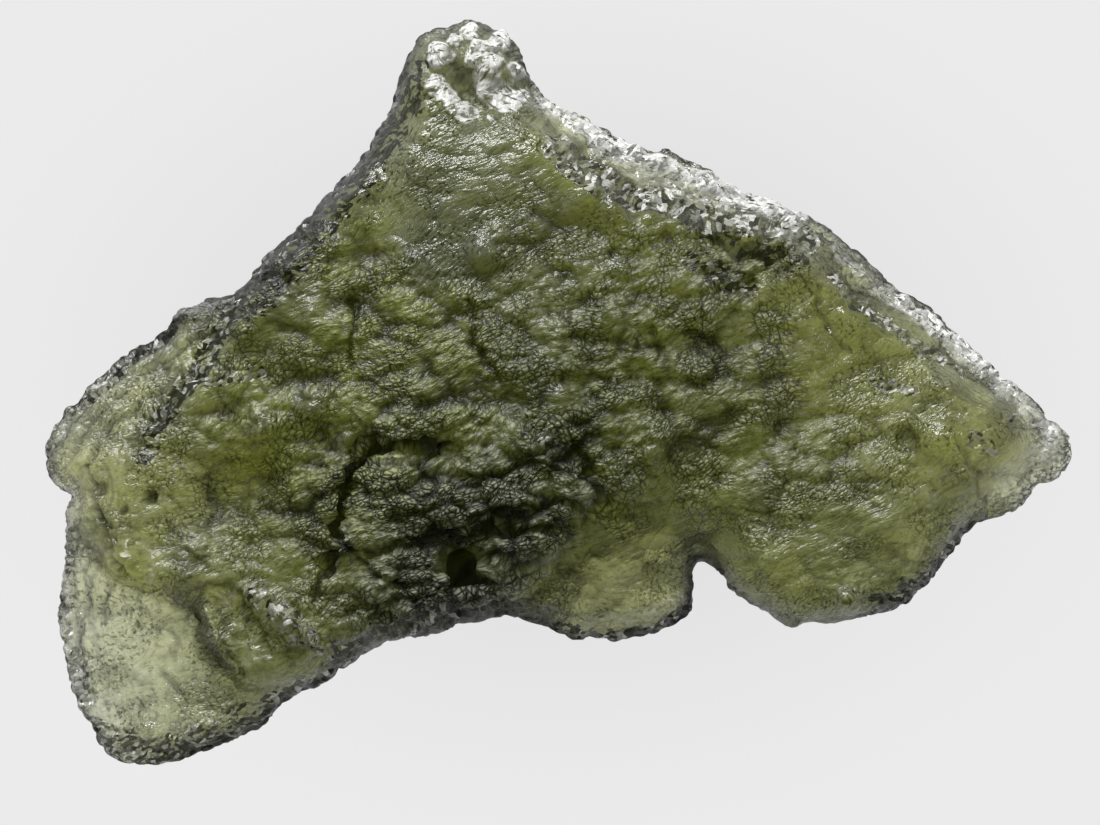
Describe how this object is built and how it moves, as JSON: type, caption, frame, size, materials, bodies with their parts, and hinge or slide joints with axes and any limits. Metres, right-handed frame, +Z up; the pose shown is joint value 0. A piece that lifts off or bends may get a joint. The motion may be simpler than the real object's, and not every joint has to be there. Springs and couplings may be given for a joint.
{
  "type": "moldavite",
  "caption": "Raw green natural-glass stone, a flat leaf-shaped splash with an etched, lumpy face, lying on a small flat spot on its back.",
  "frame": {"origin": "under the middle of the stone's box, on the surface that it lies on", "axes": "+X from the left corner to the right tip, +Y towards the peak, +Z up, the way the sculpted front looks"},
  "size_m": [0.046, 0.0336, 0.0086],
  "materials": {
    "green_glass": "etched, see-through green natural glass, pale where it is thin and dark olive where it is thick"
  },
  "bodies": {
    "root": {"moldavite": "green_glass"}
  },
  "joints": []
}
